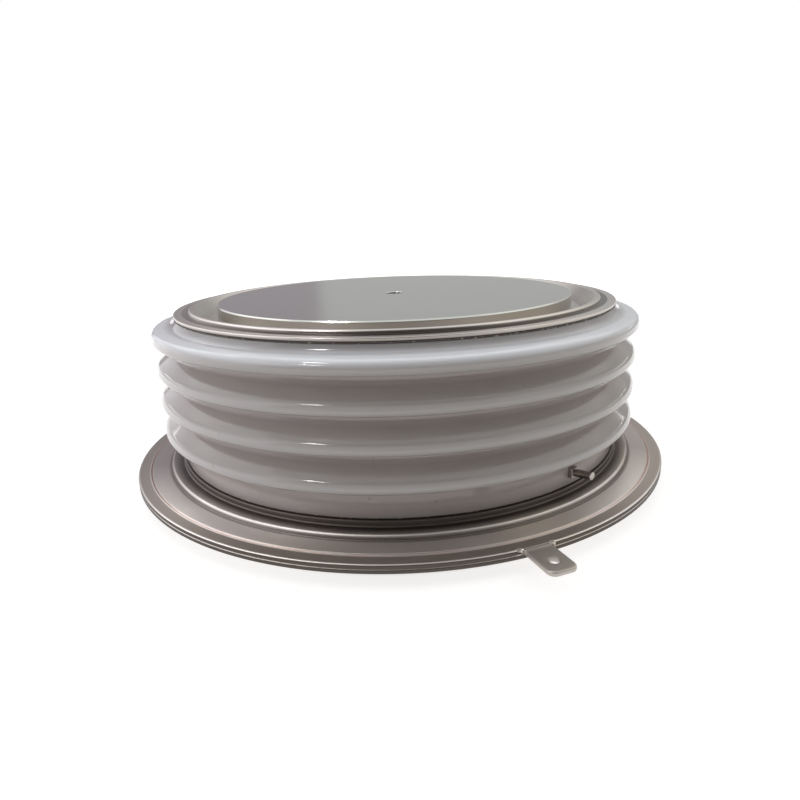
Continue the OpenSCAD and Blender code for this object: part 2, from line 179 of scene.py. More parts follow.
def turned_stretch(points):
    """Sweeps a line of (radius, height, rounding) inputs round the ring, with each corner rounded."""
    count = len(points)
    line = add(ring_tree, "GeometryNodeMeshLine", {"Count": count, "Offset": (0, 0, 0.001)})
    order = add(ring_tree, "GeometryNodeInputIndex").outputs[0]
    spots = add(ring_tree, "GeometryNodeIndexSwitch", {"Index": order}, data_type="VECTOR")
    rounds = add(ring_tree, "GeometryNodeIndexSwitch", {"Index": order}, data_type="FLOAT")
    for switch in (spots, rounds):
        for extra in range(count - 2):
            switch.index_switch_items.new()
    for i, (out, up, rounding) in enumerate(points):
        reach = add(ring_tree, "ShaderNodeMath", {
            0: given[out], 1: given["Body Radius"]}, operation="SUBTRACT")
        drop = add(ring_tree, "ShaderNodeMath", {0: given[up], 1: -1.0}, operation="MULTIPLY")
        spot = add(ring_tree, "ShaderNodeCombineXYZ", {"X": reach.outputs[0], "Y": drop.outputs[0]})
        ring_tree.links.new(spot.outputs[0], spots.inputs[i + 1])
        if isinstance(rounding, str):
            ring_tree.links.new(given[rounding], rounds.inputs[i + 1])
        else:
            rounds.inputs[i + 1].default_value = rounding * MM
    moved = add(ring_tree, "GeometryNodeSetPosition", {
        "Geometry": line.outputs[0], "Position": spots.outputs[0]})
    curve = add(ring_tree, "GeometryNodeMeshToCurve", {"Mesh": moved.outputs[0]})
    soft = add(ring_tree, "GeometryNodeFilletCurve", {
        "Curve": curve.outputs[0], "Count": 8, "Radius": rounds.outputs[0]}, mode="POLY")
    return add(ring_tree, "GeometryNodeCurveToMesh", {
        "Curve": round_path.outputs[0], "Profile Curve": soft.outputs[0]})


foot = turned_stretch([
    ("Bore Radius", "Top Height", 0), ("Bore Radius", "Foot Height", 0),
    ("Body Radius", "Foot Height", 0.12), ("Body Radius", "Foot Wall Top", 0)])
rib = turned_stretch([
    ("Body Radius", "Rib Start", 0), ("Body Radius", "Rib Underside", "Throat Radius"),
    ("Rib Radius", "Rib Underside", "Lower Nose Radius"), ("Rib Radius", "Rib Edge", "Upper Nose Radius"),
    ("Body Radius", "Rib Root", "Root Radius"), ("Body Radius", "Rib End", 0)])
crown = turned_stretch([
    ("Body Radius", "Top Wall Start", 0), ("Body Radius", "Top Rib Underside", "Throat Radius"),
    ("Top Rib Radius", "Top Rib Underside", "Lower Nose Radius"), ("Top Rib Radius", "Top Rib Edge", 1.4),
    ("Flare Radius", "Flare Foot", 2.0), ("Land Radius", "Top Height", 0),
    ("Bore Radius", "Top Height", 0)])
first_rib = add(ring_tree, "ShaderNodeCombineXYZ", {"Z": given["Lowest Rib Height"]})
next_rib = add(ring_tree, "ShaderNodeCombineXYZ", {"Z": given["Rib Pitch"]})
rib_heights = add(ring_tree, "GeometryNodeMeshLine", {
    "Count": given["Ribs"], "Start Location": first_rib.outputs[0], "Offset": next_rib.outputs[0]})
ribs = add(ring_tree, "GeometryNodeInstanceOnPoints", {
    "Points": rib_heights.outputs[0], "Instance": rib.outputs[0]})
joined = add(ring_tree, "GeometryNodeJoinGeometry")
for stretch in (crown, ribs, foot):
    ring_tree.links.new(stretch.outputs[0], joined.inputs[0])
real = add(ring_tree, "GeometryNodeRealizeInstances", {"Geometry": joined.outputs[0]})
closed = add(ring_tree, "GeometryNodeMergeByDistance", {
    "Geometry": real.outputs[0], "Distance": 0.01 * MM})
glazed = add(ring_tree, "GeometryNodeSetMaterial", {
    "Geometry": closed.outputs[0], "Material": glazed_alumina})
add(ring_tree, "NodeGroupOutput", {"Geometry": glazed.outputs[0]})

blank = bpy.data.objects.new("ceramic_blank", bpy.data.meshes.new("ceramic_blank"))
bpy.context.scene.collection.objects.link(blank)
turning = blank.modifiers.new("turning", "NODES")
turning.node_group = ring_tree
for label, size in ring_sizes.items():
    turning[ring_ids[label]] = size * MM
turning[ring_ids["Ribs"]] = 3
turning[ring_ids["Sides"]] = RING_SIDES

# the gate tube's hole is drilled through the wall before firing, 18.5 degrees from the tab
GATE_DIR = Vector((0.317305, -0.948324, 0))
GATE_Z, GATE_TUBE_R = 8.5, 0.75
gate_turn = GATE_DIR.to_track_quat("Z", "Y").to_matrix().to_4x4()
gate_place = Matrix.Translation(Vector((0, 0, GATE_Z * MM))) @ gate_turn
drill = bmesh.new()
bmesh.ops.create_cone(drill, cap_ends=True, segments=32, radius1=GATE_TUBE_R * MM, radius2=GATE_TUBE_R * MM,
                      depth=10 * MM, matrix=gate_place @ Matrix.Translation((0, 0, 44 * MM)))
drill_mesh = bpy.data.meshes.new("gate_drill")
drill.to_mesh(drill_mesh)
drill.free()
gate_drill = bpy.data.objects.new("gate_drill", drill_mesh)
bpy.context.scene.collection.objects.link(gate_drill)
hole = blank.modifiers.new("gate_hole", "BOOLEAN")
hole.object = gate_drill
hole.solver = "EXACT"
ready = blank.evaluated_get(bpy.context.evaluated_depsgraph_get())
ring_mesh = bpy.data.meshes.new_from_object(ready)
ring_mesh.name = "glazed_ceramic_ring"
bpy.data.objects.remove(blank)
bpy.data.objects.remove(gate_drill)
tidy = bmesh.new()
tidy.from_mesh(ring_mesh)
bmesh.ops.remove_doubles(tidy, verts=tidy.verts, dist=0.002 * MM)
bmesh.ops.recalc_face_normals(tidy, faces=tidy.faces)
tidy.to_mesh(ring_mesh)
tidy.free()
ceramic_ring = new_piece("glazed_ceramic_ring", ring_mesh, glazed_alumina)
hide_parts("ceramic_housing")
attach(ceramic_ring, "root")


# Two rings of silver-copper braze join the metallised ends of the ceramic to the flanges.
# In the furnace the alloy creeps out and freezes as a thin, uneven line at each joint.
SEAT_Z, ANODE_RING_Z, ANODE_SHEET, ANODE_EDGE_R = 6.1, 34.95, 0.7, 45.4
BRAZE_T, BRAZE_SIDES = 0.15, 432


def turned(name, outline, sides=RING_SIDES, wobble=None):
    """Spins a closed outline of (radius, height) in millimetres; wobble shifts a point at an angle."""
    bm = bmesh.new()
    rings = []
    for index, (r, z) in enumerate(outline):
        if r < 1e-6:
            rings.append([bm.verts.new((0, 0, z * MM))] * sides)
            continue
        ring = []
        for k in range(sides):
            angle = 2 * math.pi * k / sides
            dr, dz = wobble(index, angle) if wobble else (0, 0)
            ring.append(bm.verts.new((
                (r + dr) * MM * math.cos(angle), (r + dr) * MM * math.sin(angle), (z + dz) * MM)))
        rings.append(ring)
    for a, b in zip(rings, rings[1:] + rings[:1]):
        for k in range(sides):
            corners = []
            for v in (a[k], a[(k + 1) % sides], b[(k + 1) % sides], b[k]):
                if v not in corners:
                    corners.append(v)
            if len(corners) > 2:
                bm.faces.new(corners)
    bmesh.ops.recalc_face_normals(bm, faces=bm.faces)
    mesh = bpy.data.meshes.new(name)
    bm.to_mesh(mesh)
    bm.free()
    return mesh


# Silver-copper eutectic, frozen bare: dull and dark where it oxidised, dark also as painted shade for the
# gap at each joint, with a few bright silver beads.
silver_braze, tree, shader = new_material("silver_copper_braze", Metallic=1.0)
place = add(tree, "ShaderNodeTexCoord").outputs["Object"]
# beads about 0.7 mm across
grain = add(tree, "ShaderNodeTexNoise", {"Vector": place, "Scale": 1 / (0.7 * MM), "Detail": 4.0})
bead = add(tree, "ShaderNodeMapRange", {"Value": grain.outputs["Fac"], "From Min": 0.58, "From Max": 0.75})
braze_tone = add(tree, "ShaderNodeMix", {
    "Factor": bead.outputs[0], 6: linear("#7b746f"), 7: linear("#ece7df")}, data_type="RGBA")
tree.links.new(braze_tone.outputs[2], shader.inputs["Base Color"])
braze_gloss = add(tree, "ShaderNodeMapRange", {"Value": bead.outputs[0], "To Min": 0.5, "To Max": 0.25})
tree.links.new(braze_gloss.outputs[0], shader.inputs["Roughness"])
braze_bump = add(tree, "ShaderNodeBump", {
    "Height": grain.outputs["Fac"], "Strength": 0.3, "Distance": 0.06 * MM})
tree.links.new(braze_bump.outputs[0], shader.inputs["Normal"])

# each ripple of the ragged line has a count round the ring, a phase and a height
chance = random.Random(11)
ripples = [(n, chance.uniform(0, 6.28), chance.uniform(0.4, 1.0) / n**0.35)
           for n in (7, 13, 23, 37, 61, 89, 131)]


def ragged(angle, size):
    """How far the frozen alloy crept at an angle round the ring."""
    return size * sum(h * math.sin(n * angle + p) for n, p, h in ripples) / len(ripples)


lower_braze = new_piece("housing_braze_line", turned("housing_braze_line", [
    (BORE_R, SEAT_Z), (46.2, SEAT_Z), (46.15, SEAT_Z + 0.08), (46.2, SEAT_Z + BRAZE_T),
    (BORE_R, SEAT_Z + BRAZE_T)],
    BRAZE_SIDES, lambda i, a: (ragged(a, 0.02), 0) if i == 1 else (0, 0)), silver_braze)
upper_braze = new_piece("anode_braze_line", turned("anode_braze_line", [
    (BORE_R, CERAMIC_Z1), (45.0, CERAMIC_Z1), (45.1, CERAMIC_Z1 - 0.1), (45.25, CERAMIC_Z1 - 0.08),
    (45.36, CERAMIC_Z1 + 0.04), (45.41, CERAMIC_Z1 + 0.2), (45.3, CERAMIC_Z1 + BRAZE_T),
    (BORE_R, CERAMIC_Z1 + BRAZE_T)],
    BRAZE_SIDES, lambda i, a: (0, ragged(a, 0.16)) if i in (2, 3, 5) else (0, 0)), silver_braze)
for line, node in ((lower_braze, "housing_braze_ring"), (upper_braze, "anode_braze_ring")):
    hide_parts(node)
    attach(line, "root")


# The lower flange is pressed from copper sheet and nickel plated: two steps up to the ceramic's seat,
# a flat rim for the cold weld, and the auxiliary cathode tab left standing when the rim was blanked.
RIM_R, SEAM_Z, RIM_Z, FLAT_Z, STEP_Z = 56.0, 3.1, 3.9, 4.1, 5.0
TAB_HALF, TAB_TIP, TAB_CORNER, RELIEF = 2.4, -63.0, 1.2, 0.5
TAB_HOLE_R, TAB_HOLE_Y = 0.825, -60.2
WELD_R, STEP_R, SEAT_R, STEP_SHEET = 53.5, 49.45, 46.85, 1.0
# directions from the axis: away from the camera's side, and to the camera's left
AWAY_FROM_CAMERA, LEFT_OF_CAMERA = (0.358, 0.934, 0), (-0.934, 0.358, 0)


def rounded(points, steps=6):
    """An outline from (radius, height, rounding) points, with an arc at each rounded corner."""
    out = []
    for i, (x, y, r) in enumerate(points):
        b = Vector((x, y))
        if not r:
            out.append((x, y))
            continue
        u = (Vector(points[i - 1][:2]) - b).normalized()
        v = (Vector(points[(i + 1) % len(points)][:2]) - b).normalized()
        half = u.angle(v) / 2
        centre = b + (u + v).normalized() * r / math.sin(half)
        start, end = b + u * r / math.tan(half) - centre, b + v * r / math.tan(half) - centre
        a0 = math.atan2(start.y, start.x)
        turn = (math.atan2(end.y, end.x) - a0 + 3 * math.pi) % (2 * math.pi) - math.pi
        for k in range(steps + 1):
            a = a0 + turn * k / steps
            out.append((centre.x + r * math.cos(a), centre.y + r * math.sin(a)))
    return out


def even_normals(made):
    """Lets each wide face keep its own direction, so that rounded edges don't shade across it."""
    weigh = made.modifiers.new("even_normals", "WEIGHTED_NORMAL")
    weigh.keep_sharp = True
    done = bpy.data.meshes.new_from_object(made.evaluated_get(bpy.context.evaluated_depsgraph_get()))
    made.modifiers.remove(weigh)
    old, made.data = made.data, done
    name = old.name
    bpy.data.meshes.remove(old)
    done.name = name


# Electroplated nickel on pressed copper: satin grey with faint mauve and straw patches from the furnace,
# painted shade by azimuth and beside the lower braze, and copper showing pink along the weld where the die
# thinned the plating.
nickel_sheet, tree, shader = new_material("nickel_plated_pressed_copper", Metallic=1.0)
place = add(tree, "ShaderNodeTexCoord").outputs["Object"]
flat = add(tree, "ShaderNodeVectorMath", {0: place, 1: (1, 1, 0)}, operation="MULTIPLY")
radius = add(tree, "ShaderNodeVectorMath", {0: flat.outputs["Vector"]}, operation="LENGTH")
# furnace tints drift over about 30 mm
tint = add(tree, "ShaderNodeTexNoise", {"Vector": place, "Scale": 1 / (30 * MM), "Detail": 2.0})
tint_ramp = add(tree, "ShaderNodeMapRange", {
    "Value": tint.outputs["Fac"], "From Min": 0.35, "From Max": 0.65})
plating = add(tree, "ShaderNodeMix", {
    "Factor": tint_ramp.outputs[0], 6: linear("#ebe5e2"), 7: linear("#e9e1d6")}, data_type="RGBA")
plating.name = "plating"
# painted shade: away from the camera's side the sheet is darkened to mauve
bearing = add(tree, "ShaderNodeVectorMath", {0: flat.outputs["Vector"]}, operation="NORMALIZE")
away_from_camera = add(tree, "ShaderNodeVectorMath", {
    0: bearing.outputs["Vector"], 1: AWAY_FROM_CAMERA}, operation="DOT_PRODUCT")
side_shade_ramp = add(tree, "ShaderNodeMapRange", {
    "Value": away_from_camera.outputs["Value"], "From Min": -0.7, "From Max": -0.3, "To Min": 0.0, "To Max": 0.68})
side_painted_shade = add(tree, "ShaderNodeMix", {
    "Factor": side_shade_ramp.outputs[0], 6: plating.outputs[2], 7: linear("#7d7174")}, data_type="RGBA")
side_painted_shade.name = "side_painted_shade"
# painted shade: facing the camera, beside the tab, the sheet is darker
front_painted_shade = add(tree, "ShaderNodeMapRange", {
    "Value": away_from_camera.outputs["Value"], "From Min": -1.0, "From Max": -0.93, "To Min": 0.36, "To Max": 0.0})
front_shaded = add(tree, "ShaderNodeMix", {
    "Factor": front_painted_shade.outputs[0], 6: side_painted_shade.outputs[2], 7: linear("#6f6762")}, data_type="RGBA")
# the bare weld line is 0.5 mm wide and breaks up every few millimetres
from_weld = add(tree, "ShaderNodeMath", {0: radius.outputs["Value"], 1: WELD_R * MM}, operation="SUBTRACT")
weld_gap = add(tree, "ShaderNodeMath", {0: from_weld.outputs[0]}, operation="ABSOLUTE")
weld_near = add(tree, "ShaderNodeMapRange", {
    "Value": weld_gap.outputs[0], "From Min": 0.08 * MM, "From Max": 0.26 * MM,
    "To Min": 1.0, "To Max": 0.0})
thin = add(tree, "ShaderNodeTexNoise", {"Vector": place, "Scale": 1 / (5 * MM), "Detail": 3.0})
weld_show = add(tree, "ShaderNodeMath", {
    0: weld_near.outputs[0], 1: thin.outputs["Fac"]}, operation="MULTIPLY")
welded = add(tree, "ShaderNodeMix", {
    "Factor": weld_show.outputs[0], 6: front_shaded.outputs[2], 7: linear("#d2aa9e")}, data_type="RGBA")
# dark marks run round it, each at a radius and height: painted shade in the channel by the lower braze
# under the ribs and in the fold at the foot of the anode ring's lip, that ring's dull cut edge, and painted
# shade at the foot of the outer step, dimming its edge
height = add(tree, "ShaderNodeSeparateXYZ", {0: place})
section = add(tree, "ShaderNodeCombineXYZ", {"X": radius.outputs["Value"], "Z": height.outputs["Z"]})
marked = welded
for out, up, full_to, gone_by, strength, colour in (
        (46.6, SEAT_Z, 1.5, 3.1, 0.9, "#4a403a"),
        (43.1, ANODE_RING_Z, 0.6, 0.8, 0.9, "#4a403a"),
        (ANODE_EDGE_R, ANODE_RING_Z - 0.38, 0.12, 0.26, 0.6, "#6f6964"),
        (49.5, FLAT_Z + 0.15, 0.25, 0.7, 0.75, "#4a403a")):
    away = add(tree, "ShaderNodeVectorMath", {
        0: section.outputs[0], 1: (out * MM, 0, up * MM)}, operation="DISTANCE")
    mark = add(tree, "ShaderNodeMapRange", {
        "Value": away.outputs["Value"], "From Min": full_to * MM, "From Max": gone_by * MM,
        "To Min": strength, "To Max": 0.0})
    marked = add(tree, "ShaderNodeMix", {
        "Factor": mark.outputs[0], 6: marked.outputs[2], 7: linear(colour)}, data_type="RGBA")
# outside the weld the rim is browned, up to the brighter burr at its edge
browned_from = add(tree, "ShaderNodeMapRange", {
    "Value": radius.outputs["Value"], "From Min": 53.72 * MM, "From Max": 53.9 * MM})
browned_to = add(tree, "ShaderNodeMapRange", {
    "Value": radius.outputs["Value"], "From Min": 55.55 * MM, "From Max": 55.75 * MM,
    "To Min": 1.0, "To Max": 0.0})
browned = add(tree, "ShaderNodeMath", {
    0: browned_from.outputs[0], 1: browned_to.outputs[0]}, operation="MULTIPLY")
rim_colour = add(tree, "ShaderNodeMix", {
    "Factor": browned.outputs[0], 6: marked.outputs[2], 7: linear("#a0968f")}, data_type="RGBA")
# the sheared edge is bare and dull
edge_on = add(tree, "ShaderNodeMapRange", {
    "Value": radius.outputs["Value"], "From Min": 55.9 * MM, "From Max": 55.97 * MM})
past_edge = add(tree, "ShaderNodeMath", {0: radius.outputs["Value"], 1: 56.05 * MM}, operation="LESS_THAN")
sheared = add(tree, "ShaderNodeMath", {
    0: edge_on.outputs[0], 1: past_edge.outputs[0]}, operation="MULTIPLY")
sheet_colour = add(tree, "ShaderNodeMix", {
    "Factor": sheared.outputs[0], 6: rim_colour.outputs[2], 7: linear("#5a534e")}, data_type="RGBA")
# the tab is greyed by handling
on_tab = add(tree, "ShaderNodeMapRange", {
    "Value": radius.outputs["Value"], "From Min": 56.2 * MM, "From Max": 57.0 * MM,
    "To Min": 0.0, "To Max": 0.8})
handled = add(tree, "ShaderNodeMix", {
    "Factor": on_tab.outputs[0], 6: sheet_colour.outputs[2], 7: linear("#aaa49d")}, data_type="RGBA")
# painted shade: the quarter at the camera's left is darkest, rim and all
toward_camera_left = add(tree, "ShaderNodeVectorMath", {
    0: bearing.outputs["Vector"], 1: LEFT_OF_CAMERA}, operation="DOT_PRODUCT")
left_shade_ramp = add(tree, "ShaderNodeMapRange", {
    "Value": toward_camera_left.outputs["Value"], "From Min": 0.7, "From Max": 0.97, "To Min": 0.0, "To Max": 0.5})
left_painted_shade = add(tree, "ShaderNodeMix", {
    "Factor": left_shade_ramp.outputs[0], 6: handled.outputs[2], 7: linear("#5d5457")}, data_type="RGBA")
left_painted_shade.name = "left_painted_shade"
tree.links.new(left_painted_shade.outputs[2], shader.inputs["Base Color"])
# spinning rings are about 0.1 mm apart, drawn every 0.7 mm so that they show
ring_at = add(tree, "ShaderNodeCombineXYZ", {"X": radius.outputs["Value"]})
rings = add(tree, "ShaderNodeTexNoise", {
    "Vector": ring_at.outputs[0], "Scale": 1 / (0.7 * MM), "Detail": 3.0}, noise_dimensions="3D")
sheet_gloss = add(tree, "ShaderNodeMapRange", {
    "Value": rings.outputs["Fac"], "To Min": 0.42, "To Max": 0.52})
sheet_gloss.name = "gloss"
tree.links.new(sheet_gloss.outputs[0], shader.inputs["Roughness"])
# and the press left shallow dents about 11 mm across
dents = add(tree, "ShaderNodeTexNoise", {"Vector": place, "Scale": 1 / (11 * MM), "Detail": 2.0})
ring_height = add(tree, "ShaderNodeMath", {
    0: rings.outputs["Fac"], 1: 0.05, 2: dents.outputs["Fac"]}, operation="MULTIPLY_ADD")
sheet_bump = add(tree, "ShaderNodeBump", {
    "Height": ring_height.outputs[0], "Strength": 0.2, "Distance": 0.08 * MM})
tree.links.new(sheet_bump.outputs[0], shader.inputs["Normal"])

# the pressed steps are spun about the axis, out to just past the weld line
PLATE_R = 54.0
seat_under, step_under = SEAT_Z - STEP_SHEET, STEP_Z - STEP_SHEET
steps_outline = rounded([
    (PLATE_R, SEAM_Z, 0), (PLATE_R, RIM_Z, 0), (WELD_R + 0.15, RIM_Z + 0.12, 0.15),
    (WELD_R - 0.15, RIM_Z - 0.05, 0.05), (WELD_R - 0.25, FLAT_Z, 0.08), (STEP_R + 0.1, FLAT_Z, 0.15),
    (STEP_R, STEP_Z, 0.5), (SEAT_R, STEP_Z, 0.33), (SEAT_R, SEAT_Z, 0.275), (BORE_R, SEAT_Z, 0),
    (BORE_R, seat_under, 0), (SEAT_R - STEP_SHEET, seat_under, 0.2), (SEAT_R - STEP_SHEET, step_under, 0.3),
    (STEP_R - 0.95, step_under, 0.2), (STEP_R - 0.95, SEAM_Z, 0.3)])
flange_mesh = turned("housing_flange", steps_outline)
flange = bmesh.new()
flange.from_mesh(flange_mesh)
outer_wall = [f for f in flange.faces
              if all(abs(v.co.to_2d().length - PLATE_R * MM) < 1e-6 for v in f.verts)]
bmesh.ops.delete(flange, geom=outer_wall, context="FACES_ONLY")

# the blanked edge runs round the rim, into a relief notch on each side of the tab, and round the tip
notch = Vector((TAB_HALF + RELIEF, -RIM_R))
notch_start = math.asin((RIM_R - math.sqrt(RIM_R**2 - (TAB_HALF + 2 * RELIEF) ** 2)) / RELIEF)
right_side = [notch + RELIEF * Vector((math.cos(a), math.sin(a)))
              for a in [notch_start + (math.pi - notch_start) * k / 8 for k in range(9)]]
right_side += [Vector((TAB_HALF, y)) for y in (-57.2, -58.6, TAB_HOLE_Y)]
corner = Vector((TAB_HALF - TAB_CORNER, TAB_TIP + TAB_CORNER))
right_side += [corner + TAB_CORNER * Vector((math.cos(a), math.sin(a)))
               for a in [-math.pi / 2 * k / 8 for k in range(9)]]
first = right_side[0]
gap = math.atan2(first.x, -first.y)
rim_arc = [Vector((RIM_R * math.sin(a), -RIM_R * math.cos(a)))
           for a in [2 * math.pi - gap - (2 * math.pi - 2 * gap) * k / 280 for k in range(1, 280)]]
left_side = [Vector((-p.x, p.y)) for p in reversed(right_side)]
blank_edge = rim_arc + right_side + left_side


def edge_loops(loop, top, bottom, soft_top, soft_bottom):
    """The loops of a sheet's cut edge, from its upper face over a rounded edge to its lower face."""
    count = len(loop)
    inward = []
    for i, p in enumerate(loop):
        along = (loop[(i + 1) % count] - loop[i - 1]).normalized()
        inward.append(Vector((along.y, -along.x)))
    made = []
    for base, soft, sign in ((top, soft_top, 1), (bottom, soft_bottom, -1)):
        arc = []
        for k in range(5):
            a = math.pi / 2 * k / 4
            z = base - sign * soft * (1 - math.cos(a))
            arc.append([flange.verts.new(((p.x + n.x * soft * (1 - math.sin(a))) * MM,
                                          (p.y + n.y * soft * (1 - math.sin(a))) * MM, z * MM))
                        for p, n in zip(loop, inward)])
        made += arc if sign == 1 else arc[::-1]
    for a, b in zip(made, made[1:]):
        for i in range(count):
            flange.faces.new((a[i], a[(i + 1) % count], b[(i + 1) % count], b[i]))
    return made[0], made[-1]


tab_hole = [Vector((TAB_HOLE_R * math.cos(a), TAB_HOLE_Y + TAB_HOLE_R * math.sin(a)))
            for a in [2 * math.pi * k / 40 for k in range(40)]]
rim_top, rim_under = edge_loops(blank_edge, RIM_Z, SEAM_Z, 0.26, 0.2)
hole_top, hole_under = edge_loops(tab_hole, RIM_Z, SEAM_Z, 0.12, 0.1)
for level, loops in ((RIM_Z, (rim_top, hole_top)), (SEAM_Z, (rim_under, hole_under))):
    inner = [e for e in flange.edges if e.is_boundary
             and all(abs(v.co.to_2d().length - PLATE_R * MM) < 1e-6 and abs(v.co.z - level * MM) < 1e-6
                     for v in e.verts)]
    border = list(inner)
    for loop in loops:
        border += [flange.edges.get((loop[i - 1], loop[i])) for i in range(len(loop))]
    bmesh.ops.triangle_fill(flange, edges=border, use_beauty=True, use_dissolve=False)
bmesh.ops.remove_doubles(flange, verts=flange.verts, dist=0.001 * MM)
bmesh.ops.recalc_face_normals(flange, faces=flange.faces)
flange.to_mesh(flange_mesh)
flange.free()
housing_flange = new_piece("housing_flange", flange_mesh, nickel_sheet)
even_normals(housing_flange)
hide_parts("housing_weld_flange")
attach(housing_flange, "root")


# The gate tube passes through the drilled wall and is brazed in behind a small square collar.
# It is drawn nickel; once the lead is welded in, its end is cropped, which leaves a bright face.
TUBE_ROOT, TUBE_TIP, WALL_OUT = 40.3, 50.6, 47.2
COLLAR_AT, COLLAR_W, COLLAR_T = 46.79, 1.75, 0.82

# Drawn nickel: a satin wall with small tarnished patches, and a paler grey face where it was cropped.
nickel_tube, tree, shader = new_material("drawn_nickel_tube", Metallic=1.0)
place = add(tree, "ShaderNodeTexCoord").outputs["Object"]
along = add(tree, "ShaderNodeVectorMath", {0: place, 1: tuple(GATE_DIR)}, operation="DOT_PRODUCT")
cropped = add(tree, "ShaderNodeMapRange", {
    "Value": along.outputs["Value"], "From Min": (TUBE_TIP - 0.2) * MM, "From Max": (TUBE_TIP - 0.02) * MM})
# patches about 1.2 mm across
tarnish = add(tree, "ShaderNodeTexNoise", {"Vector": place, "Scale": 1 / (1.2 * MM), "Detail": 4.0})
tube_wall = add(tree, "ShaderNodeMix", {
    "Factor": tarnish.outputs["Fac"], 6: linear("#958e87"), 7: linear("#bcb6af")}, data_type="RGBA")
tube_colour = add(tree, "ShaderNodeMix", {
    "Factor": cropped.outputs[0], 6: tube_wall.outputs[2], 7: linear("#b9b5ad")}, data_type="RGBA")
tree.links.new(tube_colour.outputs[2], shader.inputs["Base Color"])
tube_gloss = add(tree, "ShaderNodeMapRange", {
    "Value": tarnish.outputs["Fac"], "To Min": 0.25, "To Max": 0.45})
tree.links.new(tube_gloss.outputs[0], shader.inputs["Roughness"])

tube_mesh = turned("gate_tube_pinched", rounded([
    (0.35, TUBE_ROOT, 0), (GATE_TUBE_R, TUBE_ROOT, 0.1), (GATE_TUBE_R, 46.6, 0), (0.66, 46.8, 0.1),
    (0.66, TUBE_TIP - 0.6, 0), (0.7, TUBE_TIP - 0.3, 0.1), (0.7, TUBE_TIP, 0.1), (0.0, TUBE_TIP, 0),
    (0.0, 49.2, 0), (0.35, 49.2, 0)], 4), 40)
tube = bmesh.new()
tube.from_mesh(tube_mesh)
# the free end is bent up a little when the lead is connected
for v in tube.verts:
    v.co.y += 0.12 * max(0.0, v.co.z - WALL_OUT * MM)
collar_size = Matrix.Diagonal((COLLAR_W * MM, COLLAR_W * MM, COLLAR_T * MM, 1))
collar = bmesh.ops.create_cube(
    tube, size=1.0, matrix=Matrix.Translation((0, 0, COLLAR_AT * MM)) @ collar_size)
collar_edges = list({e for v in collar["verts"] for e in v.link_edges})
bmesh.ops.bevel(tube, geom=collar_edges, offset=0.14 * MM, segments=3, profile=0.6, affect="EDGES")
tube.transform(gate_place)
tube.to_mesh(tube_mesh)
tube.free()
gate_tube = new_piece("gate_tube_pinched", tube_mesh, nickel_tube)
even_normals(gate_tube)
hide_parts("gate_tube")
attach(gate_tube, "root")


# The anode flange is a spring ring of the same plated sheet: its outer edge is brazed to the ceramic's
# land, then it stands up into a lip and slopes down inside to a floor brazed to the pole piece.
CONTACT_R, POLE_R, CONTACT_PROUD, TROUGH, LIP_W = 37.0, 38.6, 0.4, 3.3, 1.0


def diaphragm(edge, ring_depth, sheet):
    """The flange's outline in (radius, depth below the contact face), from its outer edge inwards."""
    lip = BORE_R + sheet
    slope = math.atan2(TROUGH - CONTACT_PROUD, lip - LIP_W - POLE_R)
    under = POLE_R + sheet * math.tan(slope / 2)
    under_depth = TROUGH + sheet - (BORE_R - under) * math.tan(slope)
    return rounded(edge + [
        (lip, ring_depth, 0.2), (lip, CONTACT_PROUD, 0.42), (lip - LIP_W, CONTACT_PROUD, 0.6),
        (POLE_R, TROUGH, 0.8), (CONTACT_R, TROUGH, 0), (CONTACT_R, TROUGH + sheet, 0),
        (under, TROUGH + sheet, 0.3), (BORE_R, under_depth, 0.1), (BORE_R, ring_depth + sheet, 0)], 8)


# The same plated copper, but spun smooth, so it is glossier than the pressed flange, and a more even grey.
nickel_spun = nickel_sheet.copy()
nickel_spun.name = "nickel_plated_spun_copper"
spun_nodes = nickel_spun.node_tree.nodes
spun_nodes["gloss"].inputs["To Min"].default_value = 0.24
spun_nodes["gloss"].inputs["To Max"].default_value = 0.32
spun_nodes["plating"].inputs[6].default_value = linear("#cfc8c6")
spun_nodes["plating"].inputs[7].default_value = linear("#cdc6bd")
# its painted side shades are a neutral grey
for tinted in ("side_painted_shade", "left_painted_shade"):
    spun_nodes[tinted].inputs[7].default_value = linear("#b6b0aa")

PACKAGE_H = 36.0
ring_depth = PACKAGE_H - ANODE_RING_Z
anode_outline = [(r, PACKAGE_H - d) for r, d in diaphragm(
    [(ANODE_EDGE_R, ring_depth + ANODE_SHEET, 0.3), (ANODE_EDGE_R, ring_depth, 0.15)],
    ring_depth, ANODE_SHEET)]
anode_flange = new_piece("anode_flange_folded", turned("anode_flange_folded", anode_outline), nickel_spun)
even_normals(anode_flange)
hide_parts("anode_flange")
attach(anode_flange, "root")


# The anode pole piece is turned from copper bar, nickel plated and lapped flat on its contact face.
# A dowel hole in the middle centres the device on its heat sink.
POLE_FOOT, DOWEL_R, DOWEL_DEPTH, EDGE_BREAK = 22.0, 1.8, 2.0, 0.25

# Lapped nickel plate: an even, slightly green satin grey, clouded by handling, without a cutting direction.
nickel_contact, tree, shader = new_material("lapped_nickel_plate", Metallic=1.0)
place = add(tree, "ShaderNodeTexCoord").outputs["Object"]
# handling marks cloud the face over about 22 mm
cloud = add(tree, "ShaderNodeTexNoise", {"Vector": place, "Scale": 1 / (22 * MM), "Detail": 3.0})
cloud_ramp = add(tree, "ShaderNodeMapRange", {
    "Value": cloud.outputs["Fac"], "From Min": 0.3, "From Max": 0.7})
face = add(tree, "ShaderNodeMix", {
    "Factor": cloud_ramp.outputs[0], 6: linear("#c7c7c3"), 7: linear("#cacbc5")}, data_type="RGBA")
